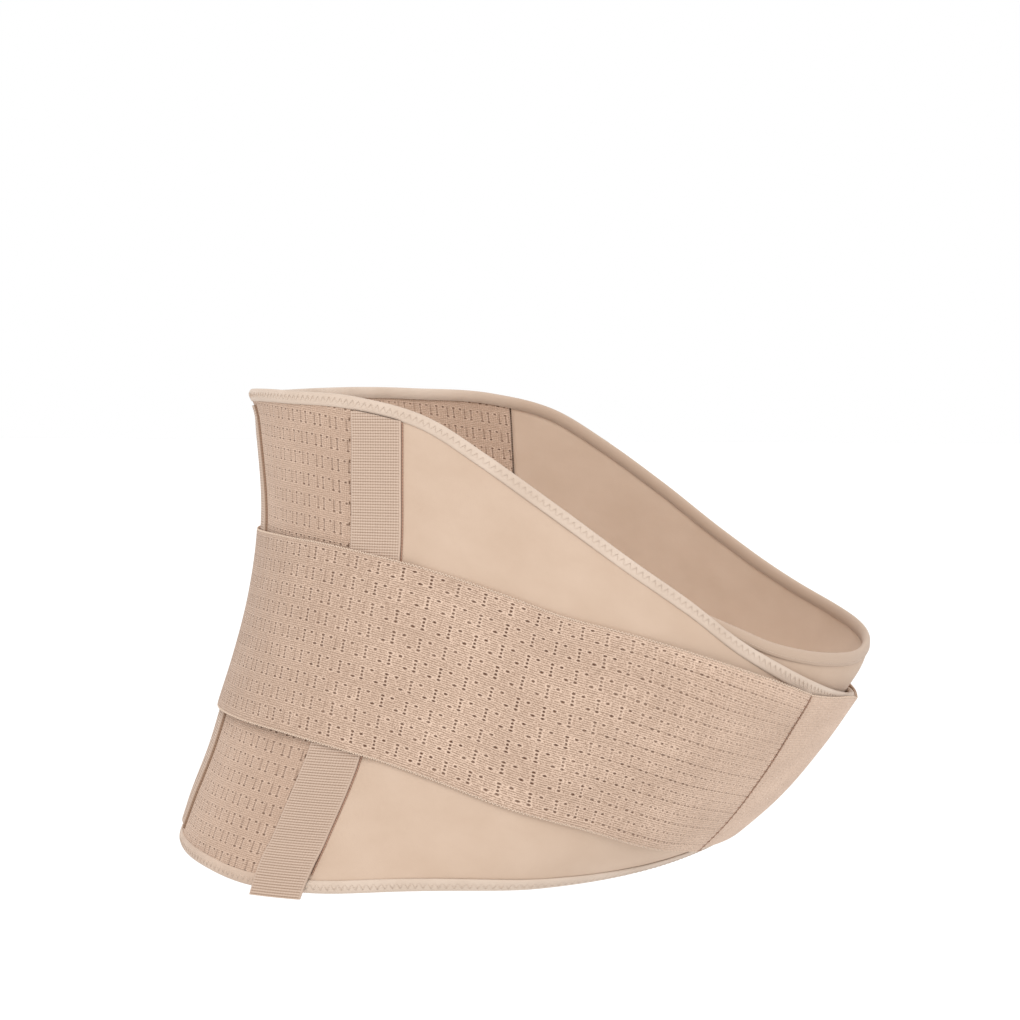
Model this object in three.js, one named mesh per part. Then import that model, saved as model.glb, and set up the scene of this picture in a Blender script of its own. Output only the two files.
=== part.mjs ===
import * as THREE from 'three';

// A maternity support belt closed to a ring, in millimetres with +Z up.
// The front of the belt faces +X, so its right side is at -Y. The origin is in the middle of the hollow.
// Angles are in degrees round the hollow: 0 at the middle of the front, 180 at the middle of the back,
// growing over the right side. A place on the form is an angle and a height, and lift is the distance
// outward.

// Form that the belt is shaped to
const BELT_HEIGHT = 246;
const HALF_WIDTH = 168;
const BACK_REACH = 170;
const BELLY_REACH = 192;
const BACK_SQUARENESS = 2.5;
const BELLY_SQUARENESS = 2.1;

// Cloth walls and the clearance between them
const PANEL_WALL = 2.2;
const BINDING_WALL = 0.6;
const TAPE_WALL = 1.2;
const STRAP_WALL = 1.3;
const WING_HOOK_WALL = 1.3;
const STRAP_HOOK_WALL = 0.5;
const CLEARANCE = 0.4;
const LAYER_CLEARANCE = 0.5;

// Widths and lengths of the pieces
const BINDING_WIDTH = 6.8;
const SIDE_TAPE_WIDTH = 27;
const SPINE_TAPE_WIDTH = 20;
const STRAP_WIDTH = 95;
const TAPE_OVERHANG = 3;
const TAPE_END_GAP = 3;
const TAPE_RISE_LENGTH = 18;
const WING_HOOK_LENGTH = 90;
const WING_HOOK_WIDTH = 50;
const STRAP_HOOK_LENGTH = 22;
const STRAP_HOOK_WIDTH = 62;
const STRAP_SEAM_GAP = 0.6;

// Where the ends lie, in degrees
const RIGHT_WING_END = -12;
const LEFT_WING_END = -58;
const RIGHT_STRAP_END = 26;
const LEFT_STRAP_END = -35;

// How the layers rise over what they cross: the angle where the rise starts and where it ends
const WING_RISE = { from: 86, to: 61 };
const STRAP_OVER_WING_RISE = { from: 96, to: 70 };
const STRAP_OVER_STRAP_RISE = { from: 60, to: 42 };
const LEFT_STRAP_RISE = { from: 40, to: 17 };

// Level sections of the form. Height is a share of BELT_HEIGHT from the origin, back of BACK_REACH,
// side of HALF_WIDTH, and belly and middle, where the section is widest, of BELLY_REACH.
const FORM = [
  { height: -0.56, back: 0.985, belly: 0.220, side: 1.012, middle: -0.212 },
  { height: -0.45, back: 0.983, belly: 0.515, side: 1.017, middle: -0.177 },
  { height: -0.345, back: 0.942, belly: 0.692, side: 1.012, middle: -0.130 },
  { height: -0.215, back: 0.869, belly: 0.838, side: 1.004, middle: -0.082 },
  { height: -0.125, back: 0.830, belly: 0.918, side: 0.992, middle: -0.050 },
  { height: -0.054, back: 0.797, belly: 0.976, side: 0.980, middle: -0.022 },
  { height: 0.108, back: 0.738, belly: 0.990, side: 0.948, middle: 0.022 },
  { height: 0.27, back: 0.715, belly: 0.992, side: 0.914, middle: 0.050 },
  { height: 0.43, back: 0.735, belly: 0.994, side: 0.887, middle: 0.066 },
  { height: 0.59, back: 0.768, belly: 0.996, side: 0.866, middle: 0.070 },
];

// Top edge of the right wing, which lies outermost at the front. Heights are shares of BELT_HEIGHT.
const RIGHT_TOP_EDGE = [
  { angle: -20, height: -0.112 },
  { angle: -6, height: -0.106 },
  { angle: 8, height: -0.090 },
  { angle: 20, height: -0.062 },
  { angle: 30, height: -0.022 },
  { angle: 40, height: 0.040 },
  { angle: 48, height: 0.112 },
  { angle: 58, height: 0.192 },
  { angle: 72, height: 0.306 },
  { angle: 86, height: 0.408 },
  { angle: 97, height: 0.477 },
  { angle: 112, height: 0.520 },
  { angle: 130, height: 0.533 },
  { angle: 180, height: 0.533 },
];

// Top edge of the left wing, with its angle growing over the left side. It dips less at the front.
const LEFT_TOP_EDGE = [
  { angle: -64, height: 0.150 },
  { angle: -48, height: 0.104 },
  { angle: -40, height: 0.065 },
  { angle: -33, height: 0.030 },
  { angle: -25, height: 0.006 },
  { angle: -16, height: -0.008 },
  { angle: -7, height: -0.012 },
  { angle: 4, height: 0.000 },
  { angle: 16, height: 0.020 },
  { angle: 28, height: 0.048 },
  { angle: 38, height: 0.082 },
  { angle: 48, height: 0.132 },
  { angle: 58, height: 0.198 },
  { angle: 72, height: 0.306 },
  { angle: 86, height: 0.408 },
  { angle: 97, height: 0.477 },
  { angle: 112, height: 0.520 },
  { angle: 130, height: 0.533 },
  { angle: 180, height: 0.533 },
];

// Bottom edge, the same on both sides apart from the left wing's hidden end, which lies higher
const RIGHT_BOTTOM_EDGE = [
  { angle: -20, height: -0.400 },
  { angle: 0, height: -0.404 },
  { angle: 20, height: -0.411 },
  { angle: 36, height: -0.424 },
  { angle: 62, height: -0.440 },
  { angle: 84, height: -0.452 },
  { angle: 98, height: -0.463 },
  { angle: 110, height: -0.459 },
  { angle: 124, height: -0.440 },
  { angle: 140, height: -0.427 },
  { angle: 180, height: -0.423 },
];
const LEFT_BOTTOM_EDGE = [
  { angle: -64, height: -0.376 },
  { angle: -20, height: -0.382 },
  ...RIGHT_BOTTOM_EDGE.filter((row) => row.angle >= 0),
];

// Middle lines of the tapes and of the pull strap, from top to bottom and from front to back
const SIDE_TAPE_LINE = [
  { height: -0.50, angle: 104.6 },
  { height: -0.34, angle: 103.5 },
  { height: -0.20, angle: 102 },
  { height: 0.00, angle: 102.5 },
  { height: 0.21, angle: 104.5 },
  { height: 0.35, angle: 106.5 },
  { height: 0.55, angle: 108.5 },
];
const SPINE_TAPE_LINE = [
  { height: -0.45, angle: 145 },
  { height: -0.33, angle: 142 },
  { height: -0.20, angle: 140 },
  { height: 0.00, angle: 140 },
  { height: 0.22, angle: 143 },
  { height: 0.35, angle: 147 },
  { height: 0.55, angle: 153 },
];
const STRAP_LINE = [
  { angle: -40, height: -0.208 },
  { angle: -24, height: -0.235 },
  { angle: -8, height: -0.246 },
  { angle: 10, height: -0.244 },
  { angle: 24, height: -0.233 },
  { angle: 33, height: -0.213 },
  { angle: 42, height: -0.189 },
  { angle: 48, height: -0.169 },
  { angle: 59, height: -0.130 },
  { angle: 71, height: -0.092 },
  { angle: 81, height: -0.053 },
  { angle: 88, height: -0.028 },
  { angle: 96, height: -0.003 },
  { angle: 104, height: 0.016 },
  { angle: 113, height: 0.033 },
  { angle: 126, height: 0.044 },
  { angle: 150, height: 0.047 },
  { angle: 180, height: 0.047 },
];

// Lifts of the layers, worked out from the walls below them
const BINDING_INNER = -CLEARANCE - BINDING_WALL;
const BINDING_OUTER = PANEL_WALL + CLEARANCE + BINDING_WALL;
const PANEL_INSET = BINDING_WALL + 3 * CLEARANCE;
const TAPE_LIFT = PANEL_WALL + LAYER_CLEARANCE;
const TAPE_OVER_BINDING = BINDING_OUTER + CLEARANCE;
const WING_OVER_WING = BINDING_OUTER + LAYER_CLEARANCE - BINDING_INNER;
const STRAP_LIFT = TAPE_LIFT + TAPE_WALL + CLEARANCE;
const STRAP_OVER_WING = WING_OVER_WING + BINDING_OUTER + LAYER_CLEARANCE;
const STRAP_HOOK_LIFT = STRAP_OVER_WING + STRAP_WALL + CLEARANCE;
const STRAP_OVER_STRAP = STRAP_HOOK_LIFT + STRAP_HOOK_WALL + CLEARANCE;
const WING_HOOK_LIFT = PANEL_WALL + CLEARANCE;

// Steps of the grids
const WING_STEPS = { along: 32, across: 9 };
const BACK_STEPS = { along: 30, across: 10 };
const STRAP_STEPS = { along: 44, across: 6 };
const TAPE_STEPS = { along: 20, across: 2 };
const HOOK_STEPS = { along: 8, across: 4 };
const BINDING_STEP_LENGTH = 13;
const FINE_STEPS = 400;
const MARCH_STEP = 8;
const DIFFERENCE = 0.01;

// Smooth value of one column of a table at a place in its key column
function smoothColumn(table, key, column, at) {
  const last = table.length - 1;
  const slope = (i) => (table[i + 1][column] - table[i][column]) / (table[i + 1][key] - table[i][key]);
  const tangent = (i) => {
    if (i === 0) return slope(0);
    if (i === last) return slope(last - 1);
    const before = table[i][key] - table[i - 1][key];
    const after = table[i + 1][key] - table[i][key];
    return (slope(i - 1) * after + slope(i) * before) / (before + after);
  };
  const place = Math.min(Math.max(at, table[0][key]), table[last][key]);
  let row = 0;
  while (row < last - 1 && place > table[row + 1][key]) row += 1;
  const span = table[row + 1][key] - table[row][key];
  const s = (place - table[row][key]) / span;
  const rise = (3 - 2 * s) * s * s;
  return table[row][column] * (1 - rise) + table[row + 1][column] * rise
    + span * s * (1 - s) * ((1 - s) * tangent(row) - s * tangent(row + 1));
}

// A value that goes smoothly from one to another while the angle passes a rise
function overRise(angle, rise, before, after) {
  const share = Math.min(Math.max((rise.from - angle) / (rise.from - rise.to), 0), 1);
  return before + (after - before) * share * share * (3 - 2 * share);
}

// Point of the form: in each level section a superellipse about its widest place
function formPoint(angle, height) {
  const share = height / BELT_HEIGHT;
  const turn = THREE.MathUtils.degToRad(angle);
  const middle = smoothColumn(FORM, 'height', 'middle', share) * BELLY_REACH;
  const side = smoothColumn(FORM, 'height', 'side', share) * HALF_WIDTH;
  const front = Math.cos(turn) > 0;
  const reach = front
    ? smoothColumn(FORM, 'height', 'belly', share) * BELLY_REACH - middle
    : smoothColumn(FORM, 'height', 'back', share) * BACK_REACH + middle;
  const power = front ? BELLY_SQUARENESS : BACK_SQUARENESS;
  const across = Math.abs(Math.cos(turn) / reach) ** power;
  const aside = Math.abs(Math.sin(turn) / side) ** power;
  const radius = (across + aside) ** (-1 / power);
  return new THREE.Vector3(middle + radius * Math.cos(turn), -radius * Math.sin(turn), height);
}

// Directions on the form at a place: level, up the surface and outward, with the form's own slopes
function formFrame(spot) {
  const east = formPoint(spot.angle + DIFFERENCE, spot.height);
  const west = formPoint(spot.angle - DIFFERENCE, spot.height);
  const above = formPoint(spot.angle, spot.height + DIFFERENCE);
  const below = formPoint(spot.angle, spot.height - DIFFERENCE);
  const perDegree = east.sub(west).divideScalar(2 * DIFFERENCE);
  const perHeight = above.sub(below).divideScalar(2 * DIFFERENCE);
  const level = perDegree.clone().normalize();
  const outward = perHeight.clone().cross(perDegree).normalize();
  const up = level.clone().cross(outward).normalize();
  return { perDegree, perHeight, level, up, outward };
}

function liftedPoint(spot, lift) {
  return formPoint(spot.angle, spot.height).addScaledVector(formFrame(spot).outward, lift);
}

// A place reached by walking on the form, with a heading from level that grows upward
function walk(spot, heading, distance) {
  const steps = Math.max(1, Math.ceil(Math.abs(distance) / MARCH_STEP));
  const stride = distance / steps;
  let { angle, height } = spot;
  for (let step = 0; step < steps; step += 1) {
    const frame = formFrame({ angle, height });
    const rise = stride * Math.sin(heading) / frame.perHeight.dot(frame.up);
    const sideways = stride * Math.cos(heading) - rise * frame.perHeight.dot(frame.level);
    height += rise;
    angle += sideways / frame.perDegree.length();
  }
  return { angle, height };
}

// Heading of the way from one place to another on the form
function headingTo(from, to) {
  const frame = formFrame(from);
  const way = formPoint(to.angle, to.height).sub(formPoint(from.angle, from.height));
  return Math.atan2(way.dot(frame.up), way.dot(frame.level));
}

// Evenly spaced places on a line, which is a function of a share from 0 to 1
function evenStations(line, count) {
  const fine = Array.from({ length: FINE_STEPS + 1 }, (unused, i) => line(i / FINE_STEPS));
  const points = fine.map((spot) => formPoint(spot.angle, spot.height));
  const lengths = [0];
  for (let i = 1; i <= FINE_STEPS; i += 1) {
    lengths.push(lengths[i - 1] + points[i].distanceTo(points[i - 1]));
  }
  const total = lengths[FINE_STEPS];
  const stations = [];
  let i = 1;
  for (let n = 0; n <= count; n += 1) {
    const wanted = total * n / count;
    while (i < FINE_STEPS && lengths[i] < wanted) i += 1;
    const share = (i - 1 + (wanted - lengths[i - 1]) / (lengths[i] - lengths[i - 1])) / FINE_STEPS;
    stations.push({ ...line(share), along: wanted });
  }
  return stations;
}

// Heading of a line at each of its stations
function stationHeadings(stations) {
  const last = stations.length - 1;
  return stations.map((spot, i) => {
    const ahead = i < last ? headingTo(spot, stations[i + 1]) : headingTo(stations[i - 1], spot);
    const behind = i > 0 ? headingTo(stations[i - 1], spot) : ahead;
    return Math.atan2(Math.sin(ahead) + Math.sin(behind), Math.cos(ahead) + Math.cos(behind));
  });
}

// Closed wall between an outer and an inner grid of points, joined round all four edges
function wallGeometry(outer, inner) {
  const rows = outer.length;
  const columns = outer[0].length;
  const points = [...outer.flat(), ...inner.flat()];
  const outside = (i, j) => i * columns + j;
  const inside = (i, j) => rows * columns + i * columns + j;
  const faces = [];
  const quad = (a, b, c, d) => faces.push(a, b, c, a, c, d);
  for (let i = 0; i < rows - 1; i += 1) {
    for (let j = 0; j < columns - 1; j += 1) {
      quad(outside(i, j), outside(i + 1, j), outside(i + 1, j + 1), outside(i, j + 1));
      quad(inside(i, j), inside(i, j + 1), inside(i + 1, j + 1), inside(i + 1, j));
    }
    const end = columns - 1;
    quad(outside(i, 0), inside(i, 0), inside(i + 1, 0), outside(i + 1, 0));
    quad(outside(i, end), outside(i + 1, end), inside(i + 1, end), inside(i, end));
  }
  for (let j = 0; j < columns - 1; j += 1) {
    const end = rows - 1;
    quad(outside(0, j), outside(0, j + 1), inside(0, j + 1), inside(0, j));
    quad(outside(end, j), inside(end, j), inside(end, j + 1), outside(end, j + 1));
  }
  let volume = 0;
  for (let f = 0; f < faces.length; f += 3) {
    const [a, b, c] = [points[faces[f]], points[faces[f + 1]], points[faces[f + 2]]];
    volume += a.dot(b.clone().cross(c));
  }
  if (volume < 0) faces.reverse();
  const geometry = new THREE.BufferGeometry().setFromPoints(points);
  geometry.setIndex(faces);
  geometry.computeVertexNormals();
  return geometry;
}

// The left side mirrors the right one, so a left piece is worked out over its own side
function sidePoint(side, spot, lift) {
  return liftedPoint({ angle: side * spot.angle, height: spot.height }, lift);
}

// Wall on a grid of steps, where each step gives a place and the lift of the wall's inner face
function wallPiece(side, steps, wall, place) {
  const outer = [];
  const inner = [];
  for (let i = 0; i <= steps.along; i += 1) {
    const row = Array.from({ length: steps.across + 1 }, (unused, j) => place(i, j));
    outer.push(row.map((spot) => sidePoint(side, spot, spot.lift + wall)));
    inner.push(row.map((spot) => sidePoint(side, spot, spot.lift)));
  }
  return wallGeometry(outer, inner);
}

// Height of an edge or a strap's middle line at an angle, and angle of a tape's line at a height
const edgeHeight = (edge, angle) => smoothColumn(edge, 'angle', 'height', angle) * BELT_HEIGHT;
const tapeAngle = (tape, height) => smoothColumn(tape, 'height', 'angle', height / BELT_HEIGHT);

// Lifts of the wings and straps at an angle over their own side
const rightWingLift = (angle) => overRise(angle, WING_RISE, 0, WING_OVER_WING);
const rightStrapLift = (angle) => {
  const overWing = overRise(angle, STRAP_OVER_WING_RISE, STRAP_LIFT, STRAP_OVER_WING);
  return overRise(angle, STRAP_OVER_STRAP_RISE, overWing, STRAP_OVER_STRAP);
};
const leftStrapLift = (angle) => overRise(angle, LEFT_STRAP_RISE, STRAP_LIFT, STRAP_OVER_WING);

// Height in a panel at one of its rows. The rows next to its edges lie at the bindings' inner edges.
function panelHeight(edges, angle, row, rows) {
  const low = edgeHeight(edges.bottom, angle) + PANEL_INSET;
  const high = edgeHeight(edges.top, angle) - PANEL_INSET;
  if (row === 0) return low;
  if (row === rows) return high;
  return THREE.MathUtils.lerp(low + BINDING_WIDTH, high - BINDING_WIDTH, (row - 1) / (rows - 2));
}

// Half of the gap between two panels that meet under a tape, as an angle at the side of the belt
const JOIN_HALF_ANGLE = THREE.MathUtils.radToDeg(CLEARANCE / HALF_WIDTH);

// Wing from the line under the side tape to its front end
function wingGeometry(side, edges, end, liftAt) {
  return wallPiece(side, WING_STEPS, PANEL_WALL, (i, j) => {
    const share = i / WING_STEPS.along;
    const roughAngle = THREE.MathUtils.lerp(tapeAngle(SIDE_TAPE_LINE, 0), end, share);
    const roughHeight = panelHeight(edges, roughAngle, j, WING_STEPS.across);
    const back = tapeAngle(SIDE_TAPE_LINE, roughHeight) - JOIN_HALF_ANGLE;
    const angle = THREE.MathUtils.lerp(back, end, share);
    return { angle, height: panelHeight(edges, angle, j, WING_STEPS.across), lift: liftAt(angle) };
  });
}

// Elastic panel over the small of the back, from one side tape to the other
function backPanelGeometry() {
  const edges = { top: RIGHT_TOP_EDGE, bottom: RIGHT_BOTTOM_EDGE };
  return wallPiece(1, BACK_STEPS, PANEL_WALL, (i, j) => {
    const share = 2 * i / BACK_STEPS.along - 1;
    const roughHeight = panelHeight(edges, tapeAngle(SIDE_TAPE_LINE, 0), j, BACK_STEPS.across);
    const end = tapeAngle(SIDE_TAPE_LINE, roughHeight) + JOIN_HALF_ANGLE;
    const fromSpine = (180 - end) * share;
    const height = panelHeight(edges, 180 - Math.abs(fromSpine), j, BACK_STEPS.across);
    return { angle: 180 - fromSpine, height, lift: 0 };
  });
}

// Band of even width laid along a line of the form, square to the line
function bandGeometry(side, steps, wall, width, line, liftAt) {
  const stations = evenStations(line, steps.along);
  const headings = stationHeadings(stations);
  return wallPiece(side, steps, wall, (i, j) => {
    const offset = (j / steps.across - 0.5) * width;
    const spot = walk(stations[i], headings[i] + Math.PI / 2, offset);
    return { ...spot, lift: liftAt(stations[i]) };
  });
}

// Tape of even width down a line of the form, with level ends
function tapeGeometry(side, width, tape, high, low, liftAt) {
  const line = (share) => {
    const height = THREE.MathUtils.lerp(high, low, share);
    return { height, angle: tapeAngle(tape, height) };
  };
  const stations = evenStations(line, TAPE_STEPS.along);
  const headings = stationHeadings(stations);
  return wallPiece(side, TAPE_STEPS, TAPE_WALL, (i, j) => {
    const levelWidth = width / Math.abs(Math.sin(headings[i]));
    const offset = (j / TAPE_STEPS.across - 0.5) * levelWidth;
    return { ...walk(stations[i], 0, offset), lift: liftAt(stations[i].height) };
  });
}

const strapSpot = (angle) => ({ angle, height: edgeHeight(STRAP_LINE, angle) });

function strapGeometry(side, end, liftAt) {
  const start = 180 - THREE.MathUtils.radToDeg(STRAP_SEAM_GAP / 2 / BACK_REACH);
  const line = (share) => strapSpot(THREE.MathUtils.lerp(start, end, share));
  return bandGeometry(side, STRAP_STEPS, STRAP_WALL, STRAP_WIDTH, line, (spot) => liftAt(spot.angle));
}

// Side tape: it ends under the top binding's edge, and rides over the bottom binding
function sideTapeGeometry(side) {
  const frontAngle = tapeAngle(SIDE_TAPE_LINE, BELT_HEIGHT / 2)
    - THREE.MathUtils.radToDeg(SIDE_TAPE_WIDTH / 2 / HALF_WIDTH);
  const high = edgeHeight(RIGHT_TOP_EDGE, frontAngle) - BINDING_WIDTH - TAPE_END_GAP / 2;
  const lowAngle = tapeAngle(SIDE_TAPE_LINE, -BELT_HEIGHT / 2);
  const low = edgeHeight(RIGHT_BOTTOM_EDGE, lowAngle) - TAPE_OVERHANG;
  const rise = { from: low + BINDING_WIDTH + TAPE_OVERHANG + TAPE_RISE_LENGTH };
  rise.to = rise.from - TAPE_RISE_LENGTH / 2;
  const liftAt = (height) => overRise(height, rise, TAPE_LIFT, TAPE_OVER_BINDING);
  return tapeGeometry(side, SIDE_TAPE_WIDTH, SIDE_TAPE_LINE, high, low, liftAt);
}

function spineTapeGeometry(side) {
  const high = edgeHeight(RIGHT_TOP_EDGE, 180) - BINDING_WIDTH - TAPE_END_GAP;
  const low = edgeHeight(RIGHT_BOTTOM_EDGE, 180) + BINDING_WIDTH + TAPE_END_GAP;
  return tapeGeometry(side, SPINE_TAPE_WIDTH, SPINE_TAPE_LINE, high, low, () => TAPE_LIFT);
}

// Section of a folded binding: how far each bend lies from the fold and how high, outside and inside
const BINDING_OUTSIDE = [
  { across: BINDING_WIDTH, lift: BINDING_OUTER },
  { across: BINDING_WALL, lift: BINDING_OUTER },
  { across: 0, lift: PANEL_WALL / 2 },
  { across: BINDING_WALL, lift: BINDING_INNER },
  { across: BINDING_WIDTH, lift: BINDING_INNER },
];
const BINDING_INSIDE = [
  { across: BINDING_WIDTH, lift: PANEL_WALL + CLEARANCE },
  { across: BINDING_WALL + CLEARANCE, lift: PANEL_WALL + CLEARANCE },
  { across: BINDING_WALL, lift: PANEL_WALL / 2 },
  { across: BINDING_WALL + CLEARANCE, lift: -CLEARANCE },
  { across: BINDING_WIDTH, lift: -CLEARANCE },
];

// Folded tape over an edge. Each station holds a place on the form and the lift of the panel there.
function bindingGeometry(stations, quarterTurn) {
  const headings = stationHeadings(stations);
  const section = (bends) => stations.map((station, i) => bends.map((bend) => {
    const spot = walk(station, headings[i] + quarterTurn, bend.across);
    return liftedPoint(spot, station.lift + bend.lift);
  }));
  return wallGeometry(section(BINDING_OUTSIDE), section(BINDING_INSIDE));
}

// Stations on an edge of the belt from one angle to another, over one side
function edgeStations(side, edge, from, to, liftAt) {
  const line = (share) => {
    const own = THREE.MathUtils.lerp(from, to, share);
    return { angle: side * own, height: edgeHeight(edge, own), lift: liftAt(own) };
  };
  const rough = evenStations(line, 1);
  return evenStations(line, Math.round(rough[1].along / BINDING_STEP_LENGTH));
}

// One binding runs from the right wing's end round the back to the left wing's end
function topBindingGeometry() {
  const right = edgeStations(1, RIGHT_TOP_EDGE, RIGHT_WING_END, 180, rightWingLift);
  const left = edgeStations(-1, LEFT_TOP_EDGE, 180, LEFT_WING_END, () => 0);
  const unrolled = left.slice(1).map((spot) => ({ ...spot, angle: spot.angle + 360 }));
  return bindingGeometry([...right, ...unrolled], -Math.PI / 2);
}

function bottomBindingGeometry(side, edge, end, liftAt) {
  const start = tapeAngle(SIDE_TAPE_LINE, -BELT_HEIGHT / 2) - JOIN_HALF_ANGLE;
  return bindingGeometry(edgeStations(side, edge, start, end, liftAt), -side * Math.PI / 2);
}

function backHemGeometry() {
  const start = tapeAngle(SIDE_TAPE_LINE, -BELT_HEIGHT / 2) + JOIN_HALF_ANGLE;
  const right = edgeStations(1, RIGHT_BOTTOM_EDGE, start, 180, () => 0);
  const left = edgeStations(-1, RIGHT_BOTTOM_EDGE, 180, start, () => 0);
  const unrolled = left.slice(1).map((spot) => ({ ...spot, angle: spot.angle + 360 }));
  return bindingGeometry([...right, ...unrolled], Math.PI / 2);
}

// Hook pad on the left wing, below the right wing's overlap and clear of both bindings
function wingHookGeometry() {
  const middle = (RIGHT_WING_END - LEFT_WING_END) / 2;
  const half = THREE.MathUtils.radToDeg(WING_HOOK_LENGTH / 2 / BELLY_REACH);
  const height = edgeHeight(STRAP_LINE, middle);
  const line = (share) => ({ angle: middle - half + 2 * half * share, height });
  return bandGeometry(1, HOOK_STEPS, WING_HOOK_WALL, WING_HOOK_WIDTH, line, () => WING_HOOK_LIFT);
}

// Hook pad between the ends of the two pull straps
function strapHookGeometry() {
  const middle = (RIGHT_STRAP_END - LEFT_STRAP_END) / 2;
  const half = THREE.MathUtils.radToDeg(STRAP_HOOK_LENGTH / 2 / BELLY_REACH);
  const line = (share) => strapSpot(middle - half + 2 * half * share);
  return bandGeometry(1, HOOK_STEPS, STRAP_HOOK_WALL, STRAP_HOOK_WIDTH, line, () => STRAP_HOOK_LIFT);
}

const belt = new THREE.Group();

function addPiece(name, geometry, color, roughness) {
  const material = new THREE.MeshStandardMaterial({ color, roughness, metalness: 0 });
  const mesh = new THREE.Mesh(geometry, material);
  mesh.name = name;
  belt.add(mesh);
}

// Colours of the cloths
const LAMINATE = 0xdcc2ad;
const ELASTIC = 0xcdb09c;
const WEBBING = 0xcbb19d;
const BINDING = 0xe1cfbd;
const HOOK = 0xd6c0ab;

const rightEdges = { top: RIGHT_TOP_EDGE, bottom: RIGHT_BOTTOM_EDGE };
const leftEdges = { top: LEFT_TOP_EDGE, bottom: LEFT_BOTTOM_EDGE };

addPiece('back_panel', backPanelGeometry(), ELASTIC, 0.9);
addPiece('side_panel_right', wingGeometry(1, rightEdges, RIGHT_WING_END, rightWingLift), LAMINATE, 0.85);
addPiece('side_panel_left', wingGeometry(-1, leftEdges, LEFT_WING_END, () => 0), LAMINATE, 0.85);
addPiece('top_binding', topBindingGeometry(), BINDING, 0.8);
addPiece('bottom_binding_right',
  bottomBindingGeometry(1, RIGHT_BOTTOM_EDGE, RIGHT_WING_END, rightWingLift), BINDING, 0.8);
addPiece('bottom_binding_left',
  bottomBindingGeometry(-1, LEFT_BOTTOM_EDGE, LEFT_WING_END, () => 0), BINDING, 0.8);
addPiece('back_hem', backHemGeometry(), BINDING, 0.8);
addPiece('side_tape_right', sideTapeGeometry(1), WEBBING, 0.85);
addPiece('side_tape_left', sideTapeGeometry(-1), WEBBING, 0.85);
addPiece('spine_tape_right', spineTapeGeometry(1), WEBBING, 0.85);
addPiece('spine_tape_left', spineTapeGeometry(-1), WEBBING, 0.85);
addPiece('front_hook_pad', wingHookGeometry(), HOOK, 0.9);
addPiece('pull_strap_right', strapGeometry(1, RIGHT_STRAP_END, rightStrapLift), ELASTIC, 0.9);
addPiece('pull_strap_left', strapGeometry(-1, LEFT_STRAP_END, leftStrapLift), ELASTIC, 0.9);
addPiece('strap_hook_pad', strapHookGeometry(), HOOK, 0.9);

export default belt;
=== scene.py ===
import bpy
import numpy as np
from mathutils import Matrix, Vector


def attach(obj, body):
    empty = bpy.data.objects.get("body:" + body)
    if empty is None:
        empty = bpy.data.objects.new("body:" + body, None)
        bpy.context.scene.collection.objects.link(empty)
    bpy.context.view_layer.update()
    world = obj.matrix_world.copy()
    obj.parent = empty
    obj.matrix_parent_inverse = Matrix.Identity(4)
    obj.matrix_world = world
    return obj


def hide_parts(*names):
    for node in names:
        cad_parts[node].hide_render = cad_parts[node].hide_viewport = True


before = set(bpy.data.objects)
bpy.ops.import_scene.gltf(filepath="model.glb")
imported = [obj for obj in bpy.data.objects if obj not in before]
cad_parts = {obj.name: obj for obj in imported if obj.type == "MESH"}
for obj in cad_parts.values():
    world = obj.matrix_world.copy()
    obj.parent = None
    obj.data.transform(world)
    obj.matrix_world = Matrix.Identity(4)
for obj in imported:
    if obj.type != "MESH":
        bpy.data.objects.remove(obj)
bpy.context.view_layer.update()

# Side panel, right: smooth stretch laminate, a knit face bonded to thin foam, cut as one curved wing
# and closed round the front. It lies on the form that the belt takes in use, so the form comes first.
# Angles are in degrees round the hollow: 0 at the middle of the front, 180 at the middle of the back.
BELT_HEIGHT = 0.246
HALF_WIDTH = 0.168
BACK_REACH = 0.170
FRONT_REACH = 0.192
BACK_SQUARENESS = 2.5
FRONT_SQUARENESS = 2.1


def table(columns, rows):
    """Rows of numbers under named columns, as one array a column."""
    return {name: np.array(column) for name, column in zip(columns.split(), zip(*rows))}


FORM = table("height back front side middle", [
    (-0.56, 0.985, 0.220, 1.012, -0.212),
    (-0.45, 0.983, 0.515, 1.017, -0.177),
    (-0.345, 0.942, 0.692, 1.012, -0.130),
    (-0.215, 0.869, 0.838, 1.004, -0.082),
    (-0.125, 0.830, 0.918, 0.992, -0.050),
    (-0.054, 0.797, 0.976, 0.980, -0.022),
    (0.108, 0.738, 0.990, 0.948, 0.022),
    (0.27, 0.715, 0.992, 0.914, 0.050),
    (0.43, 0.735, 0.994, 0.887, 0.066),
    (0.59, 0.768, 0.996, 0.866, 0.070),
])
REAR_TOP = [(72, 0.306), (86, 0.408), (97, 0.477), (112, 0.520), (130, 0.533), (180, 0.533)]
REAR_BOTTOM = [
    (0, -0.404), (20, -0.411), (36, -0.424), (62, -0.440), (84, -0.452), (98, -0.463),
    (110, -0.459), (124, -0.440), (140, -0.427), (180, -0.423),
]
RIGHT_TOP_EDGE = table("angle height", [
    (-20, -0.112), (-6, -0.106), (8, -0.090), (20, -0.062), (30, -0.022), (40, 0.040),
    (48, 0.112), (58, 0.192), *REAR_TOP,
])
RIGHT_BOTTOM_EDGE = table("angle height", [(-20, -0.400), *REAR_BOTTOM])
SIDE_TAPE_LINE = table("height angle", [
    (-0.50, 104.6), (-0.34, 103.5), (-0.20, 102), (0.00, 102.5), (0.21, 104.5), (0.35, 106.5),
    (0.55, 108.5),
])
PANEL_WALL = 0.0022
PANEL_INSET = 0.0018
JOIN_GAP = 0.0008
JOIN_TURN = np.degrees(JOIN_GAP / 2 / HALF_WIDTH)
WING_OVER_WING = 0.0047
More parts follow.
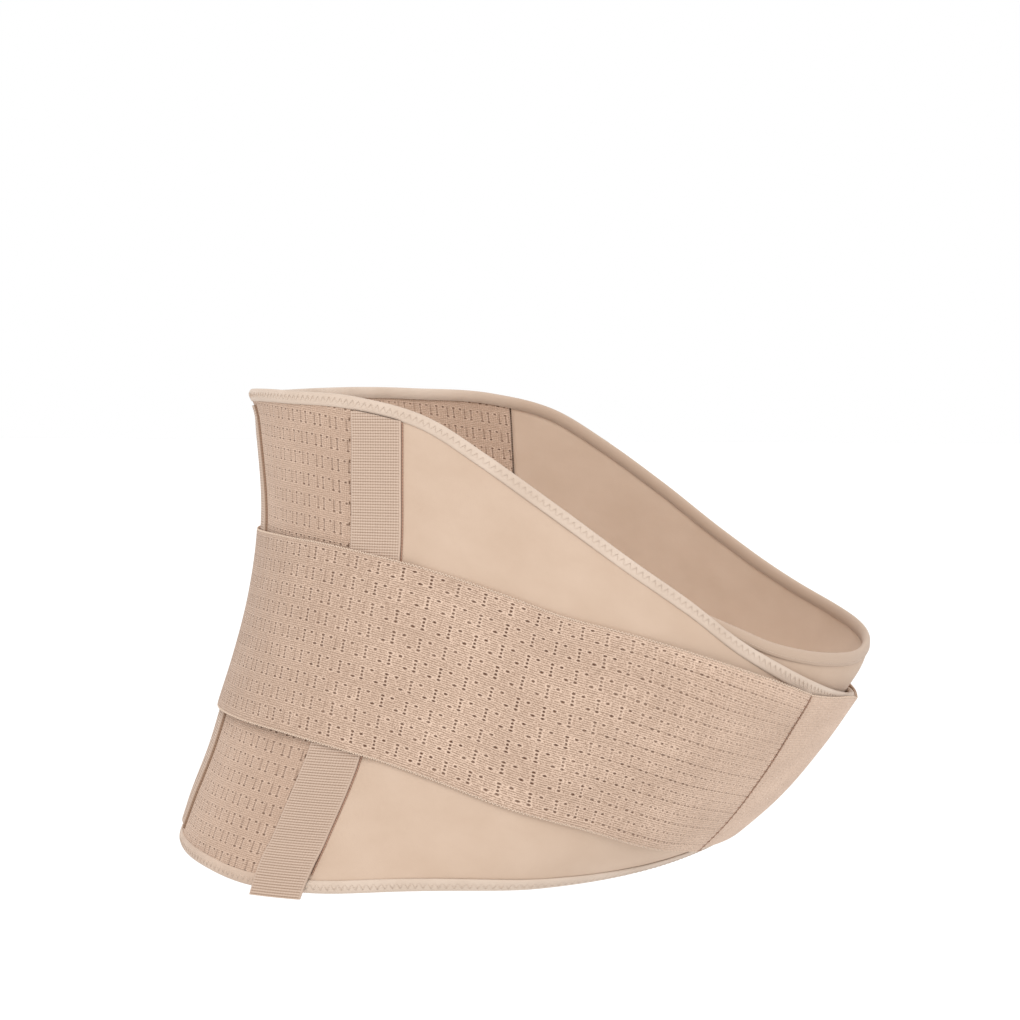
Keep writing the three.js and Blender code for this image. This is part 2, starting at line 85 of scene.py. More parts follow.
RIGHT_WING_END = -12
WING_RISE = (86, 61)
FLARE = 0.0026
FLARE_HEIGHT = 0.016
FLARE_RISE = (132, 158)


def smooth(rows, key, column, at):
    """A column read between its rows: a cubic in each step, whose slope at a row is the mean of the
    slopes of the two steps beside it, each weighted by the length of the other step."""
    place, value = rows[key], rows[column]
    step = np.diff(place)
    slope = np.diff(value) / step
    inner = (slope[:-1] * step[1:] + slope[1:] * step[:-1]) / (step[:-1] + step[1:])
    tangent = np.concatenate([slope[:1], inner, slope[-1:]])
    at = np.clip(at, place[0], place[-1])
    row = np.clip(np.searchsorted(place, at, side="right") - 1, 0, len(place) - 2)
    s = (at - place[row]) / step[row]
    rise = (3 - 2 * s) * s * s
    bend = (1 - s) * tangent[row] - s * tangent[row + 1]
    return value[row] * (1 - rise) + value[row + 1] * rise + step[row] * s * (1 - s) * bend


def over_rise(place, rise, before, after):
    """From one value to another by the smooth step 3s^2 - 2s^3 while a place passes from the rise's
    first value to its second."""
    s = np.clip((rise[0] - place) / (rise[0] - rise[1]), 0, 1)
    return before + (after - before) * s * s * (3 - 2 * s)


def form_point(angle, height):
    """Point of the form: each level section is a superellipse about its widest place, so its radius
    is (|cos / reach|^n + |sin / side|^n)^(-1/n)."""
    angle, height = np.broadcast_arrays(np.asarray(angle, float), np.asarray(height, float))
    share, turn = height / BELT_HEIGHT, np.radians(angle)
    middle = smooth(FORM, "height", "middle", share) * FRONT_REACH
    side = smooth(FORM, "height", "side", share) * HALF_WIDTH
    front = np.cos(turn) > 0
    reach = np.where(
        front,
        smooth(FORM, "height", "front", share) * FRONT_REACH - middle,
        smooth(FORM, "height", "back", share) * BACK_REACH + middle,
    )
    power = np.where(front, FRONT_SQUARENESS, BACK_SQUARENESS)
    across = np.abs(np.cos(turn) / reach) ** power
    aside = np.abs(np.sin(turn) / side) ** power
    radius = (across + aside) ** (-1 / power)
    return np.stack([middle + radius * np.cos(turn), -radius * np.sin(turn), height], axis=-1)


def unit(vectors):
    """Vectors divided by their lengths."""
    return vectors / np.linalg.norm(vectors, axis=-1, keepdims=True)


def form_frame(angle, height):
    """Slopes of the form by a degree and by a metre of height, with its level, upward and outward
    directions, from differences over a small step to both sides."""
    turn, climb = 0.01, 0.00001
    per_degree = (form_point(angle + turn, height) - form_point(angle - turn, height)) / (2 * turn)
    per_height = (form_point(angle, height + climb) - form_point(angle, height - climb)) / (2 * climb)
    level = unit(per_degree)
    outward = unit(np.cross(per_height, per_degree))
    return per_degree, per_height, level, np.cross(level, outward), outward


def flare(angle, height):
    """Distance by which the cloth stands off at the top of the back, where the cut edge is stretched:
    up to 2.6 mm within 16 mm of the edge, and none towards the sides."""
    own = 180 - np.abs(180 - np.asarray(angle, float) % 360)
    near_edge = over_rise(height - edge_height(RIGHT_TOP_EDGE, own), (-FLARE_HEIGHT, 0), 0, FLARE)
    return near_edge * over_rise(own, FLARE_RISE, 0, 1)


def lifted(angle, height, lift):
    """Point at a distance outward from the form."""
    outward = form_frame(angle, height)[4]
    return form_point(angle, height) + outward * (lift + flare(angle, height))[..., None]


def edge_height(edge, angle):
    """Height of an edge of the belt at an angle over its own side."""
    return smooth(edge, "angle", "height", angle) * BELT_HEIGHT


def tape_angle(line, height):
    """Angle of a tape's middle line at a height."""
    return smooth(line, "height", "angle", height / BELT_HEIGHT)


def wall_quads(rows, columns):
    """Corner numbers of the quads of a closed wall between two grids: the outer grid, the inner one
    turned over, and a strip round each of the four edges."""
    outer = np.arange(rows * columns).reshape(rows, columns)
    inner = outer + rows * columns
    faces = [
        np.stack([outer[:-1, :-1], outer[1:, :-1], outer[1:, 1:], outer[:-1, 1:]], -1),
        np.stack([inner[:-1, :-1], inner[:-1, 1:], inner[1:, 1:], inner[1:, :-1]], -1),
        np.stack([outer[:-1, 0], inner[:-1, 0], inner[1:, 0], outer[1:, 0]], -1),
        np.stack([outer[:-1, -1], outer[1:, -1], inner[1:, -1], inner[:-1, -1]], -1),
        np.stack([outer[0, :-1], outer[0, 1:], inner[0, 1:], inner[0, :-1]], -1),
        np.stack([outer[-1, :-1], inner[-1, :-1], inner[-1, 1:], outer[-1, 1:]], -1),
    ]
    return np.concatenate([face.reshape(-1, 4) for face in faces])


def mesh_piece(name, points, quads, cloth, material, values=None):
    """Piece of quads with its places on the flat cloth, in millimetres, as its UV map, and further
    values as vertex attributes. The quads are turned over if the volume comes out negative."""
    corner = points[quads]
    volume = (corner[:, 0] * np.cross(corner[:, 1], corner[:, 2])).sum()
    volume += (corner[:, 0] * np.cross(corner[:, 2], corner[:, 3])).sum()
    quads = quads[:, ::-1] if volume < 0 else quads
    mesh = bpy.data.meshes.new(name)
    mesh.from_pydata(points, [], quads)
    mesh.polygons.foreach_set("use_smooth", np.ones(len(quads), bool))
    flat = mesh.uv_layers.new(name="cloth")
    flat.data.foreach_set("uv", cloth[quads.ravel()].ravel())
    for title, vectors in (values or {}).items():
        layer = mesh.attributes.new(title, "FLOAT_VECTOR", "POINT")
        layer.data.foreach_set("vector", vectors.ravel())
    mesh.materials.append(material)
    piece = bpy.data.objects.new(name, mesh)
    bpy.context.scene.collection.objects.link(piece)
    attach(piece, "root")
    return piece


def cloth_wall(name, outer, inner, cloth, material, values=None):
    """Closed cloth wall between two grids of points that share their places on the flat cloth."""
    both = {title: np.concatenate([v.reshape(-1, 3)] * 2) for title, v in (values or {}).items()}
    points = np.concatenate([outer.reshape(-1, 3), inner.reshape(-1, 3)])
    flat = np.concatenate([cloth.reshape(-1, 2)] * 2)
    return mesh_piece(name, points, wall_quads(*outer.shape[:2]), flat, material, both)


def distances(points):
    """Distances along a row of points, counted from its first."""
    return np.concatenate([[0], np.cumsum(np.linalg.norm(np.diff(points, axis=0), axis=1))])


def cloth_places(points):
    """Places on the flat cloth in millimetres: lengths added up along the middle column, and across
    each row from that column."""
    middle = points.shape[1] // 2
    along = distances(points[:, middle])
    across = np.linalg.norm(np.diff(points, axis=1), axis=2)
    across = np.concatenate([np.zeros((len(points), 1)), np.cumsum(across, axis=1)], axis=1)
    across = across - across[:, middle:middle + 1]
    return np.stack([np.broadcast_to(along[:, None], across.shape), across], -1) * 1000


def flat_grid(along, across):
    """Places on the flat cloth in millimetres, for distances along it and across it in metres."""
    return np.stack(np.broadcast_arrays(along[:, None], across[None, :]), -1) * 1000


def wing_wall(name, side, edges, end, lift_at, material):
    """Wing from the line under the side tape to its front end. Its rows run from the bottom edge to
    the top edge, and its face sinks by 0.2 mm within 10 mm of both, where the bindings hold it."""
    rows, columns = 181, 71
    forward = np.linspace(0, 1, rows)[:, None]
    upward = np.linspace(0, 1, columns)

    def row_height(angle):
        low = edge_height(edges["bottom"], angle) + PANEL_INSET
        high = edge_height(edges["top"], angle) - PANEL_INSET
        return low + (high - low) * upward

    rough = row_height(tape_angle(SIDE_TAPE_LINE, 0.0) * (1 - forward) + end * forward)
    back = tape_angle(SIDE_TAPE_LINE, rough) - JOIN_TURN
    angle = back * (1 - forward) + end * forward
    height = row_height(angle)
    low = edge_height(edges["bottom"], angle)
    high = edge_height(edges["top"], angle)
    from_edge = np.minimum(height - low, high - height)
    sunk = 0.0002 * np.exp(-((from_edge - 0.0055) / 0.004).clip(0) ** 1.5)
    lift = lift_at(angle)
    outer = lifted(side * angle, height, lift + PANEL_WALL - sunk)
    inner = lifted(side * angle, height, lift)
    return cloth_wall(name, outer, inner, cloth_places(outer), material)


class Output:
    """Output of a node, kept with its tree. Each sign of reckoning on it adds one Math node."""

    def __init__(self, tree, socket):
        self.tree, self.socket = tree, socket

    def __add__(self, other):
        return reckon("ADD", self, other)

    def __sub__(self, other):
        return reckon("SUBTRACT", self, other)

    def __rsub__(self, other):
        return reckon("SUBTRACT", other, self)

    def __mul__(self, other):
        return reckon("MULTIPLY", self, other)

    def __truediv__(self, other):
        return reckon("DIVIDE", self, other)

    def __abs__(self):
        return reckon("ABSOLUTE", self)


def join(value, socket):
    """Joins a node's output to a socket, or sets a plain number or colour on it."""
    if isinstance(value, Output):
        value.tree.links.new(value.socket, socket)
    elif socket.type == "RGBA":
        socket.default_value = (*value, 1)
    else:
        socket.default_value = value


def reckon(operation, *values):
    """One Math node over outputs and plain numbers."""
    tree = next(value.tree for value in values if isinstance(value, Output))
    node = tree.nodes.new("ShaderNodeMath")
    node.operation = operation
    for socket, value in zip(node.inputs, values):
        join(value, socket)
    return Output(tree, node.outputs[0])


def clamp(value):
    """Keeps what a Math node puts out between 0 and 1."""
    value.socket.node.use_clamp = True
    return value


def wave(place, pitch):
    """Sine wave from -1 to 1 over a place, one wave a pitch."""
    return reckon("SINE", place * (2 * np.pi / pitch))


def split(vector):
    """The X, Y and Z of a vector."""
    node = vector.tree.nodes.new("ShaderNodeSeparateXYZ")
    join(vector, node.inputs[0])
    return [Output(vector.tree, socket) for socket in node.outputs]


def blend(share, first, second):
    """Colour mixed from two by a share."""
    node = share.tree.nodes.new("ShaderNodeMix")
    node.data_type = "RGBA"
    for value, number in ((share, 0), (first, 6), (second, 7)):
        join(value, node.inputs[number])
    return Output(share.tree, node.outputs[2])


def cloudy(place, scale, detail=2.0, roughness=0.5):
    """Noise from 0 to 1 at a place that is stretched by a scale in each direction."""
    stretch = place.tree.nodes.new("ShaderNodeVectorMath")
    stretch.operation = "MULTIPLY"
    stretch.inputs[1].default_value = scale
    join(place, stretch.inputs[0])
    noise = place.tree.nodes.new("ShaderNodeTexNoise")
    noise.inputs["Scale"].default_value = 1
    noise.inputs["Detail"].default_value = detail
    noise.inputs["Roughness"].default_value = roughness
    place.tree.links.new(stretch.outputs[0], noise.inputs["Vector"])
    return Output(place.tree, noise.outputs["Fac"])


def new_group(name, vectors, numbers):
    """Empty node group that takes in vectors and puts out numbers. Returns its tree, what it takes in
    by name, and the sockets of what it puts out."""
    tree = bpy.data.node_groups.new(name, "ShaderNodeTree")
    for title in vectors:
        tree.interface.new_socket(name=title, in_out="INPUT", socket_type="NodeSocketVector")
    for title in numbers:
        tree.interface.new_socket(name=title, in_out="OUTPUT", socket_type="NodeSocketFloat")
    given, result = tree.nodes.new("NodeGroupInput"), tree.nodes.new("NodeGroupOutput")
    return tree, {title: Output(tree, given.outputs[title]) for title in vectors}, result.inputs


def knit_group():
    """Fine knit of the cloth faces: stitch columns 0.45 mm apart along the cloth, broken by noise,
    and soft blotches some centimetres wide. Puts out a height from 0 to 1 and a blotch from 0 to 1."""
    tree, given, result = new_group("fine knit", ["Place"], ["Height", "Blotch"])
    place = given["Place"]
    columns = wave(split(place)[1], np.pi / 7)
    join(columns * 0.16 + cloudy(place, (1.2, 2.6, 1.0), 3.0, 0.65), result["Height"])
    join(cloudy(place, (0.035, 0.05, 1.0), 3.0, 0.55), result["Blotch"])
    return tree


knit = knit_group()


def new_material(name, roughness, sheen):
    """Material with a Principled shader; returns it, the shader and the cloth's place."""
    material = bpy.data.materials.new(name)
    material.use_nodes = True
    tree = material.node_tree
    shader = tree.nodes["Principled BSDF"]
    shader.inputs["Roughness"].default_value = roughness
    shader.inputs["Specular IOR Level"].default_value = 0.25
    shader.inputs["Sheen Weight"].default_value = sheen
    shader.inputs["Sheen Roughness"].default_value = 0.5
    place = tree.nodes.new("ShaderNodeUVMap")
    place.uv_map = "cloth"
    return material, shader, Output(tree, place.outputs[0])


def place_group(group, **given):
    """A node group put into a material, with what it takes in joined; returns what it puts out."""
    tree = given["Place"].tree
    node = tree.nodes.new("ShaderNodeGroup")
    node.node_tree = group
    for title, value in given.items():
        join(value, node.inputs[title])
    return {socket.name: Output(tree, socket) for socket in node.outputs}


def set_surface(shader, colour, height, depth):
    """Colour of the shader and a bump on it: a height from 0 to 1 stands for a depth in metres."""
    join(colour, shader.inputs["Base Color"])
    bump = height.tree.nodes.new("ShaderNodeBump")
    bump.inputs["Distance"].default_value = depth
    join(height, bump.inputs["Height"])
    height.tree.links.new(bump.outputs["Normal"], shader.inputs["Normal"])


def laminate_material():
    """Warm beige laminate: matt, with a fine knit and faint blotches."""
    material, shader, place = new_material("beige laminate", 0.85, 0.12)
    face = place_group(knit, Place=place)
    colour = blend(clamp(face["Blotch"] * 2.4 - 0.7), (0.548, 0.402, 0.300), (0.588, 0.440, 0.335))
    set_surface(shader, colour, face["Height"], 0.00012)
    return material


laminate = laminate_material()
right_edges = {"top": RIGHT_TOP_EDGE, "bottom": RIGHT_BOTTOM_EDGE}


def right_wing_lift(angle):
    """The right wing rises over the left one at the front."""
    return over_rise(angle, WING_RISE, 0, WING_OVER_WING)


wing_right = wing_wall("wing_right", 1, right_edges, RIGHT_WING_END, right_wing_lift, laminate)
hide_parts("side_panel_right")

# Side panel, left: the same laminate, longer, with its end hidden under the right wing. Its top edge
# dips less at the front, so a sliver of it shows above the right wing.
LEFT_TOP_EDGE = table("angle height", [
    (-64, 0.150), (-48, 0.104), (-40, 0.065), (-33, 0.030), (-25, 0.006), (-16, -0.008),
    (-7, -0.012), (4, 0.000), (16, 0.020), (28, 0.048), (38, 0.082), (48, 0.132), (58, 0.198),
    *REAR_TOP,
])
LEFT_BOTTOM_EDGE = table("angle height", [(-64, -0.376), (-20, -0.382), *REAR_BOTTOM])
LEFT_WING_END = -58
left_edges = {"top": LEFT_TOP_EDGE, "bottom": LEFT_BOTTOM_EDGE}
wing_left = wing_wall("wing_left", -1, left_edges, LEFT_WING_END, np.zeros_like, laminate)
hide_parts("side_panel_left")

# Back panel: woven elastic from one side tape to the other. The weave repeats in cells: a short line
# of four needle holes with a single hole before and behind it, and fine ribs between.
ROW_PITCH = 10.3
ROW_SHIFT = 0.08
EYELETS = table("along across length width is_middle", [
    (-0.018, 2.60, 0.78, 0.40, False),
    (-0.006, 0.87, 0.54, 0.44, True),
    (0.006, -0.87, 0.54, 0.44, True),
    (0.018, -2.60, 0.78, 0.40, False),
    (0.370, 2.50, 0.78, 0.42, False),
    (-0.349, -2.50, 0.92, 0.42, False),
])
BACK_WEAVE = table("angle cell middle ends ridge", [
    (100, 12.0, 0.22, 0.84, 1.0),
    (118, 11.8, 0.22, 0.80, 1.0),
    (135, 11.6, 0.20, 0.64, 0.9),
    (150, 11.2, 0.15, 0.42, 0.8),
    (180, 10.8, 0.10, 0.35, 0.8),
])


def weave_group():
    """Weave from a place in cells and rows. Each eyelet is an ellipse: its mask goes from 0 to 1 as
    (along / length)^2 + (across / width)^2 falls from 1.6 to 0.3. State holds the strength of the
    line's middle holes, of the other holes, and of the ridges across. Puts out the holes, a height
    in millimetres and a light share for the threads."""
    tree, given, result = new_group(
        "elastic weave", ["Cells", "State", "Place"], ["Holes", "Height", "Light"])
    cells_along, rows_across, cell = split(given["Cells"])
    middle_holes, end_holes, ridges = split(given["State"])
    place_along, place_across, _ = split(given["Place"])
    row = reckon("FLOOR", rows_across)
    column_place = row * ROW_SHIFT + cells_along
    along = reckon("FRACT", column_place) - 0.5
    across = reckon("FRACT", rows_across) * ROW_PITCH - ROW_PITCH / 2

    # The holes of a cell are more or less open, by a random share of its own
    chance = tree.nodes.new("ShaderNodeCombineXYZ")
    join(reckon("FLOOR", column_place), chance.inputs[0])
    join(row, chance.inputs[1])
    white = tree.nodes.new("ShaderNodeTexWhiteNoise")
    tree.links.new(chance.outputs[0], white.inputs["Vector"])

    # Holes and slits make one mask, which the material fills with dark brown painted shade
    holes = 0.0
    nearest = 99.0
    lengths = cell * 0.045 + 0.42
    for eyelet_along, eyelet_across, length, width, is_middle in zip(*EYELETS.values()):
        a = (along - eyelet_along) * cell / (lengths * length)
        b = (across - eyelet_across) / width
        far = a * a + b * b
        nearest = reckon("MINIMUM", far, nearest)
        mask = clamp((1.6 - far) / 1.3) * (middle_holes if is_middle else end_holes)
        holes = reckon("MAXIMUM", holes, mask)
    holes = holes * (Output(tree, white.outputs["Value"]) * 0.28 + 0.76)

    # Yarn pushed aside lies as a light rim round each eyelet
    rim = clamp(nearest * 0.8 - 1.3) * clamp(2.0 - nearest * 0.22) * end_holes * (1.0 - ridges * 0.55)

    # Where the middle holes are shut, a groove is left along the row, darkened by painted shade
    shut = clamp(1.0 - middle_holes) * end_holes * clamp(1.0 - ridges)
    groove = across + 2.34
    groove = clamp(1.0 - groove * groove * 3.0) * shut

    # Where the cloth is ridged, two narrow slits cross each row, painted dark as shade like holes
    inside = clamp(8.0 - abs(across) * 2.5)
    for line_place, strength in ((0.0, 0.54), (-0.37, 0.48)):
        slit = (across * 0.0069 + along - line_place) * cell
        slit = clamp(1.0 - slit * slit * 4.0) * inside * strength
        holes = reckon("MAXIMUM", holes, slit * end_holes * ridges)

    # Threads are ribs along the cloth, uneven yarns, fuzz, and ridges that fade in the cell's middle
    yarn = cloudy(given["Place"], (0.35, 1.7, 1.0), 3.0, 0.6)
    fuzz = cloudy(given["Place"], (1.2, 1.6, 1.0), 2.0, 0.6)
    apart = abs(along) * 2.0
    ridge = wave(place_along, 1.5) * apart * ridges
    threads = wave(place_across, 1.05) * 0.22 + yarn + fuzz * 1.6 + ridge * 0.16
    contrast = end_holes * 0.9 + 1.4 - ridges * 1.1
    light = (threads - 1.30) * contrast + 0.52 - ridges * 0.30 + rim * 0.7
    # Painted shade in the groove lowers the light share
    light = light + clamp(0.42 - end_holes * 0.42) - groove * 0.8
    join(holes, result["Holes"])
    join(threads * 0.26 + apart * 0.32 - holes * 0.75 - groove * 0.25, result["Height"])
    join(clamp(light), result["Light"])
    return tree


weave = weave_group()


def stored(tree, title):
    """Vector stored at the vertices of a piece."""
    node = tree.nodes.new("ShaderNodeAttribute")
    node.attribute_name = title
    return Output(tree, node.outputs["Vector"])


def elastic_material(name, dull, bright):
    """Woven elastic: thread colours from dull to bright, dark brown painted shade in the holes, and
    soft dull patches.
    """
    material, shader, place = new_material(name, 0.9, 0.1)
    cells, state = stored(place.tree, "cells"), stored(place.tree, "state")
    cloth = place_group(weave, Cells=cells, State=state, Place=place)
    patch = clamp(cloudy(place, (0.03, 0.05, 1.0), 2.0) * 0.7 - 0.22)
    colour = blend(patch, blend(cloth["Light"], dull, bright), dull)
    # Painted shade: the holes are mixed to dark brown, for the shade inside them
    colour = blend(cloth["Holes"], colour, (0.145, 0.060, 0.030))
    set_surface(shader, colour, cloth["Height"], 0.001)
    return material


elastic_back = elastic_material("back elastic", (0.41, 0.275, 0.198), (0.74, 0.545, 0.418))


def weave_values(rows, own_angle, along, across_rows):
    """Cells and state at each place. The cell count is the length along, in millimetres, divided by
    the cell's own length and added up, because the elastic is stretched more in some places."""
    length = smooth(rows, "angle", "cell", own_angle)
    step = np.diff(along, axis=0) / ((length[1:] + length[:-1]) / 2)
    counted = np.concatenate([np.zeros_like(step[:1]), np.cumsum(step, axis=0)])
    cells = np.stack([counted, across_rows, length], -1)
    state = np.stack([smooth(rows, "angle", key, own_angle) for key in ("middle", "ends", "ridge")], -1)
    return {"cells": cells, "state": state}


def back_panel_wall():
    """Panel from one side tape round the back to the other, with rows from bottom to top."""
    middle_row, middle_column = 150, 45
    share = np.linspace(-1, 1, 2 * middle_row + 1)[:, None]
    upward = np.linspace(0, 1, 2 * middle_column + 1)
    low = edge_height(RIGHT_BOTTOM_EDGE, 104.0) + PANEL_INSET
    high = edge_height(RIGHT_TOP_EDGE, 106.0) - PANEL_INSET
    end = tape_angle(SIDE_TAPE_LINE, low + (high - low) * upward) + JOIN_TURN
    from_back = (180 - end) * share
    own = 180 - np.abs(from_back)
    low = edge_height(RIGHT_BOTTOM_EDGE, own) + PANEL_INSET
    high = edge_height(RIGHT_TOP_EDGE, own) - PANEL_INSET
    height = low + (high - low) * upward
    angle = 180 - from_back
    outer = lifted(angle, height, PANEL_WALL)
    inner = lifted(angle, height, 0.0)
    cloth = cloth_places(outer)
    along = np.abs(cloth[..., 0] - cloth[middle_row, 0, 0])[middle_row:]
    middle_own = np.broadcast_to(own[middle_row:, middle_column, None], along.shape)
    half = weave_values(BACK_WEAVE, middle_own, along, cloth[middle_row:, :, 1] / ROW_PITCH)
    cells = {title: np.concatenate([v[:0:-1], v]) for title, v in half.items()}
    return cloth_wall("elastic_back_panel", outer, inner, cloth, elastic_back, cells)


back = back_panel_wall()
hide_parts("back_panel")

# Bindings: a soft tape 16.5 mm wide, folded over each raw edge and held by zigzag stitches. One runs
# along the whole top, one along the bottom of each wing, and a hem closes the bottom of the back.
BINDING_WIDTH = 0.0066
BINDING_WALL = 0.0006
CLEARANCE = 0.0004
BINDING_OUTER = PANEL_WALL + CLEARANCE + BINDING_WALL
STITCH_LENGTH = 0.0018
STITCH_POINTS = 6
STITCH_NEAR = 0.0018
STITCH_FAR = 0.0050
STITCH_LIFT = 0.0028
STITCH_ARCH = 0.00025
THREAD_RADIUS = 0.00012
FRONT_TAPER = 0.36
BINDING_SECTION = table("across lift inner_across inner_lift", [
    (0.0066, 0.0024, 0.0066, 0.0022),
    (0.0064, 0.0027, 0.0062, 0.0022),
    (0.0055, 0.0030, 0.0050, 0.0022),
    (0.0038, 0.0030, 0.0036, 0.0022),
    (0.0020, 0.0028, 0.0022, 0.0021),
    (0.0009, 0.0023, 0.0014, 0.0019),
    (0.0003, 0.0017, 0.0010, 0.0015),
    (0.0000, 0.0010, 0.0008, 0.0010),
    (0.0003, 0.0003, 0.0010, 0.0005),
    (0.0009, -0.0004, 0.0014, 0.0000),
    (0.0020, -0.0008, 0.0022, -0.0003),
    (0.0066, -0.0009, 0.0066, -0.0003),
])


def even_places(angle, height, count):
    """Places at even distances along a line: its chords are added up, and both coordinates are read
    at equal shares of the sum. Returns the shares' angles, heights and distances."""
    along = distances(form_point(angle, height))
    wanted = np.linspace(0, along[-1], count)
    return np.interp(wanted, along, angle), np.interp(wanted, along, height), wanted


def line_heading(angle, height):
    """Heading of a line at each place: the angle of its tangent above the form's level direction."""
    tangent = np.gradient(form_point(angle, height), axis=0)
    level, up = form_frame(angle, height)[2:4]
    return np.arctan2((tangent * up).sum(-1), (tangent * level).sum(-1))


def walk(angle, height, heading, distance):
    """Place reached by going a distance over the form in strides of at most 8 mm: each climbs by its
    upward part and turns by what is left of its level part."""
    angle, height, heading, distance = np.broadcast_arrays(angle, height, heading, distance)
    strides = max(1, int(np.ceil(np.abs(distance).max() / 0.008)))
    stride = distance / strides
    for _ in range(strides):
        per_degree, per_height, level, up = form_frame(angle, height)[:4]
        climb = stride * np.sin(heading) / (per_height * up).sum(-1)
        aside = stride * np.cos(heading) - climb * (per_height * level).sum(-1)
        angle = angle + aside / np.linalg.norm(per_degree, axis=-1)
        height = height + climb
    return angle, height


def binding_wall(name, angle, height, lift, quarter_turn, taper_at, material):
    """Binding along an edge, as a section carried along it. The section's rows go from the outer lip
    round the fold to the inner lip, and it is narrower by the share that taper_at gives."""
    count = int(distances(form_point(angle, height))[-1] / 0.002)
    spot_angle, spot_height, along = even_places(angle, height, count)
    way = np.sign(angle[-1] - angle[0])
    spot_lift = np.interp(way * spot_angle, way * angle, lift)
    heading = line_heading(spot_angle, spot_height)[:, None] + quarter_turn

    def face(across, rise):
        width = BINDING_SECTION[across] * (1 - taper_at(spot_angle)[:, None])
        a, h = walk(spot_angle[:, None], spot_height[:, None], heading, width)
        return lifted(a, h, spot_lift[:, None] + BINDING_SECTION[rise])

    outer = face("across", "lift")
    inner = face("inner_across", "inner_lift")
    piece = cloth_wall(name, outer, inner, flat_grid(along, distances(outer[0])), material)
    return piece, (spot_angle, spot_height, spot_lift, heading[:, 0], along)


def thread_tubes(name, angle, height, lift, radius, material):
    """Threads of six-sided section laid on the form: each row of places is one thread, and each ring
    lies across the thread's direction. Both ends are closed."""
    angle, height = np.atleast_2d(angle), np.atleast_2d(height)
    centre = lifted(angle, height, lift)
    ahead = unit(np.gradient(centre, axis=1))
    aside = unit(np.cross(ahead, form_frame(angle, height)[4]))
    over = np.cross(aside, ahead)
    turn = np.radians([0, 60, 120, 180, 240, 300])[:, None]
    spoke = np.cos(turn) * over[:, :, None] + np.sin(turn) * aside[:, :, None]
    ring = centre[:, :, None] + radius * spoke
    threads, length = centre.shape[:2]
    number = np.arange(threads * length * 6).reshape(threads, length, 6)
    after = np.roll(number, -1, axis=2)
    sides = np.stack([number[:, :-1], number[:, 1:], after[:, 1:], after[:, :-1]], -1).reshape(-1, 4)
    first, last = number[:, 0], number[:, -1]
    ends = [first[:, [0, 1, 2, 3]], first[:, [0, 3, 4, 5]], last[:, [3, 2, 1, 0]], last[:, [5, 4, 3, 0]]]
    quads = np.concatenate([sides, *ends])
    along = np.cumsum(np.linalg.norm(np.diff(centre, axis=1, prepend=centre[:, :1]), axis=2), axis=1)
    cloth = np.stack(np.broadcast_arrays(along[:, :, None] * 1000, np.arange(6) / 6), -1)
    return mesh_piece(name, ring.reshape(-1, 3), quads, cloth.reshape(-1, 2), material)


def zigzag_stitches(name, spots, taper_at, material):
    """Zigzag thread along a binding: it crosses between two distances from the edge, one crossing a
    stitch length, and each crossing rises from the cloth and goes back into it. Where straight_at
    gives 1 for the angle, the stitches run straight at the farther distance."""
    spot_angle, spot_height, spot_lift, heading, along = spots
    crossings = int(along[-1] / STITCH_LENGTH)
    share = np.arange(crossings * STITCH_POINTS + 1) / STITCH_POINTS
    place = share / crossings * along[-1]
    side_share = np.abs(share % 2 - 1)
    a = np.interp(place, along, spot_angle)
    h = np.interp(place, along, spot_height)
    turn = np.interp(place, along, np.unwrap(heading))
    side_share = 1 + (side_share - 1) * (1 - straight_at(a))
    arch = STITCH_ARCH * np.sqrt(np.abs(np.sin(np.pi * share)))
    rise = np.interp(place, along, spot_lift) + STITCH_LIFT + arch
    a, h = walk(a, h, turn, (STITCH_NEAR + (STITCH_FAR - STITCH_NEAR) * side_share) * (1 - taper_at(a)))
    return thread_tubes(name, a, h, rise, THREAD_RADIUS, material)


def binding_material(name, dull, bright):
    """Soft binding tape with a fine knit; towards the left wing's front it takes the wing's tone."""
    material, shader, place = new_material(name, 0.85, 0.15)
    face = place_group(knit, Place=place)
    front = clamp((split(place)[0] - 720) / 60)
    colour = blend(front, blend(face["Blotch"], dull, bright), (0.50, 0.37, 0.28))
    set_surface(shader, colour, face["Height"], 0.00015)
    return material


def thread_material():
    """Beige sewing thread, with a twist seen as slanting bands of painted shade and light."""
    material, shader, place = new_material("beige thread", 0.6, 0.1)
    along, around, _ = split(place)
    twist = reckon("SINE", along * 12.0 + around * (2 * np.pi)) * 0.5 + 0.5
    # Painted shade and light: the colour follows the twist, as its bump does
    set_surface(shader, blend(twist, (0.585, 0.455, 0.36), (0.70, 0.57, 0.47)), twist, 0.00008)
    return material


binding = binding_material("pale binding", (0.515, 0.395, 0.305), (0.70, 0.575, 0.48))
hem_tape = binding_material("hem tape", (0.44, 0.315, 0.235), (0.66, 0.51, 0.405))
thread = thread_material()


def top_line():
    """The top edge from the right wing's end round the back to the left wing's end."""
    right = np.linspace(RIGHT_WING_END, 180, 1600)
    left = np.linspace(180, LEFT_WING_END, 2000)[1:]
    angle = np.concatenate([right, 360 - left])
    height = np.concatenate([edge_height(RIGHT_TOP_EDGE, right), edge_height(LEFT_TOP_EDGE, left)])
    lift = np.concatenate([right_wing_lift(right), np.zeros(len(left))])
    return angle, height, lift


def bottom_line(side, edge, end, lift_at):
    """The bottom edge of a wing from the side tape to the wing's end."""
    start = tape_angle(SIDE_TAPE_LINE, -BELT_HEIGHT / 2) - JOIN_TURN
    own = np.linspace(start, end, 1500)
    return side * own, edge_height(edge, own), lift_at(own)


